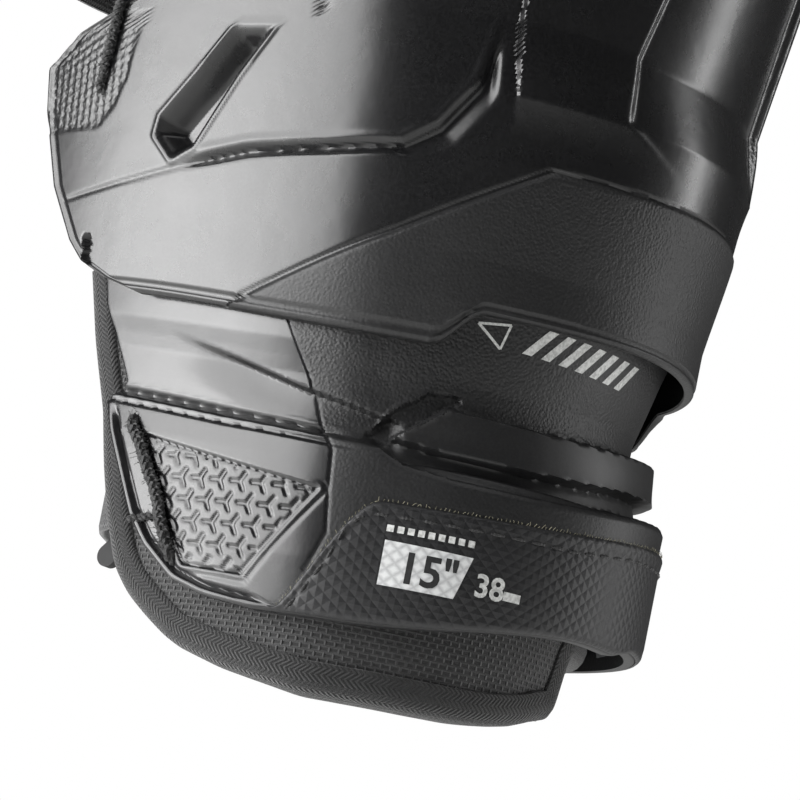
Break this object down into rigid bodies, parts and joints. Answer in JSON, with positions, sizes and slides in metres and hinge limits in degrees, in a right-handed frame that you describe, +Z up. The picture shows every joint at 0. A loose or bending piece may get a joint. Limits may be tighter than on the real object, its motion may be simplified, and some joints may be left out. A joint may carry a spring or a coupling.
{
  "type": "hockey shin guard",
  "caption": "Right-leg hockey shin guard: hinged lower, shin, knee and thigh shells over mesh-covered foam, with calf wings, a swinging inner wrap and elastic straps.",
  "frame": {"origin": "on the axis of the lower leg, just above the liner's lower hem", "axes": "+Z up along the leg, -Y towards the front of the shin, -X towards the outer side of a right leg"},
  "size_m": [0.1758, 0.2335, 0.5332],
  "materials": {
    "shell_plastic": "gloss sides with a fine grained front",
    "wing_plastic": "fine grain",
    "foam": "closed-cell foam",
    "liner_mesh": "spacer mesh over foam",
    "knit_binding": "knitted edge tape",
    "waxed_thread": "braided polyester thread",
    "rivet_metal": "black zinc",
    "embossed_vinyl": "diamond embossed coated fabric",
    "silver_print": "silver transfer print",
    "rubber": "moulded rubber",
    "elastic": "woven elastic webbing"
  },
  "bodies": {
    "shin": {"upper_shin_shell": "shell_plastic", "upper_shell_foam": "foam", "upper_shell_lacing": "waxed_thread", "shin_liner": "liner_mesh", "shin_liner_binding": "knit_binding", "lateral_calf_wing": "wing_plastic", "lateral_calf_pad": "liner_mesh", "wing_rivets": "rivet_metal", "lower_pivot_studs": "rivet_metal", "knee_pivot_rivets": "rivet_metal"},
    "lower_shin": {"lower_shin_shell": "shell_plastic", "edge_band": "embossed_vinyl", "band_stitching": "waxed_thread", "size_label": "silver_print", "lower_shell_foam": "foam", "lower_shell_lacing": "waxed_thread", "lower_liner": "liner_mesh", "lower_liner_binding": "knit_binding", "ankle_strap_anchor": "rubber"},
    "knee": {"knee_cap": "shell_plastic", "knee_cap_foam": "foam", "knee_pad": "liner_mesh", "thigh_pivot_rivets": "rivet_metal"},
    "thigh": {"thigh_plate": "shell_plastic", "thigh_pad": "liner_mesh", "thigh_pad_binding": "knit_binding", "thigh_strap_anchor": "elastic"},
    "medial_wrap": {"medial_wrap_plate": "wing_plastic", "medial_wrap_pad": "liner_mesh", "medial_wrap_binding": "knit_binding"},
    "ankle_strap": {"ankle_strap": "elastic", "ankle_strap_tab": "rubber"},
    "lower_calf_strap": {"lower_calf_strap": "elastic", "lower_calf_strap_tab": "rubber"},
    "upper_calf_strap": {"upper_calf_strap": "elastic", "upper_calf_strap_tab": "rubber"},
    "thigh_strap": {"thigh_strap": "elastic", "thigh_strap_tab": "rubber"}
  },
  "joints": [
    {"name": "lower_shin_flex", "type": "hinge", "parent": "shin", "child": "lower_shin", "pos_m": [0, 0.038, 0.088], "axis": [-1, 0, 0], "range_deg": [-3, 3], "stiffness_Nm_per_rad": 6},
    {"name": "knee_flex", "type": "hinge", "parent": "shin", "child": "knee", "pos_m": [0, -0.02, 0.332], "axis": [-1, 0, 0], "range_deg": [0, 12]},
    {"name": "thigh_flex", "type": "hinge", "parent": "knee", "child": "thigh", "pos_m": [0, -0.014, 0.43], "axis": [-1, 0, 0], "range_deg": [0, 40]},
    {"name": "medial_wrap_swing", "type": "hinge", "parent": "shin", "child": "medial_wrap", "pos_m": [0.0695, 0.056, 0.205], "axis": [0, 0, -1], "range_deg": [0, 70]},
    {"name": "ankle_strap_swing", "type": "hinge", "parent": "lower_shin", "child": "ankle_strap", "pos_m": [-0.0346, 0.0468, 0.037], "axis": [0, 0, 1], "range_deg": [0, 54]},
    {"name": "lower_calf_strap_swing", "type": "hinge", "parent": "medial_wrap", "child": "lower_calf_strap", "pos_m": [0.06417, 0.07457, 0.182], "axis": [0, 0, -1], "range_deg": [0, 95]},
    {"name": "upper_calf_strap_swing", "type": "hinge", "parent": "medial_wrap", "child": "upper_calf_strap", "pos_m": [0.06621, 0.07548, 0.238], "axis": [0, 0, -1], "range_deg": [0, 95]},
    {"name": "thigh_strap_swing", "type": "hinge", "parent": "thigh", "child": "thigh_strap", "pos_m": [0.0742, -0.0052, 0.47], "axis": [0, 0, -1], "range_deg": [0, 95]}
  ]
}
